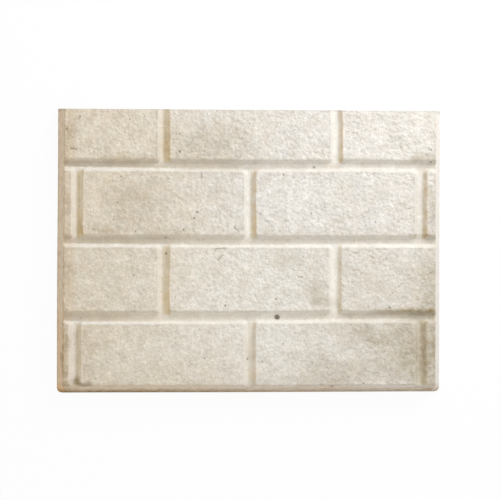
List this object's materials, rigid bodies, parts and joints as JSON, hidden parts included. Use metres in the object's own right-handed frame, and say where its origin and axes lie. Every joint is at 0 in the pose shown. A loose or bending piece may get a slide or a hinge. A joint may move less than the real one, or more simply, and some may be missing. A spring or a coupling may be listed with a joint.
{
  "type": "refractory stove panel",
  "caption": "Flat cast refractory panel for lining a stove's firebox, its face moulded as courses of brick in running bond, with leaning edges.",
  "frame": {"origin": "middle of the back face, on the surface that the panel lies on", "axes": "+X along the panel's width, +Y towards the top edge, which leans the least, +Z out of the brick face"},
  "size_m": [0.378, 0.279, 0.025],
  "materials": {
    "fireclay": "matte"
  },
  "bodies": {
    "root": {"panel": "fireclay"}
  },
  "joints": []
}
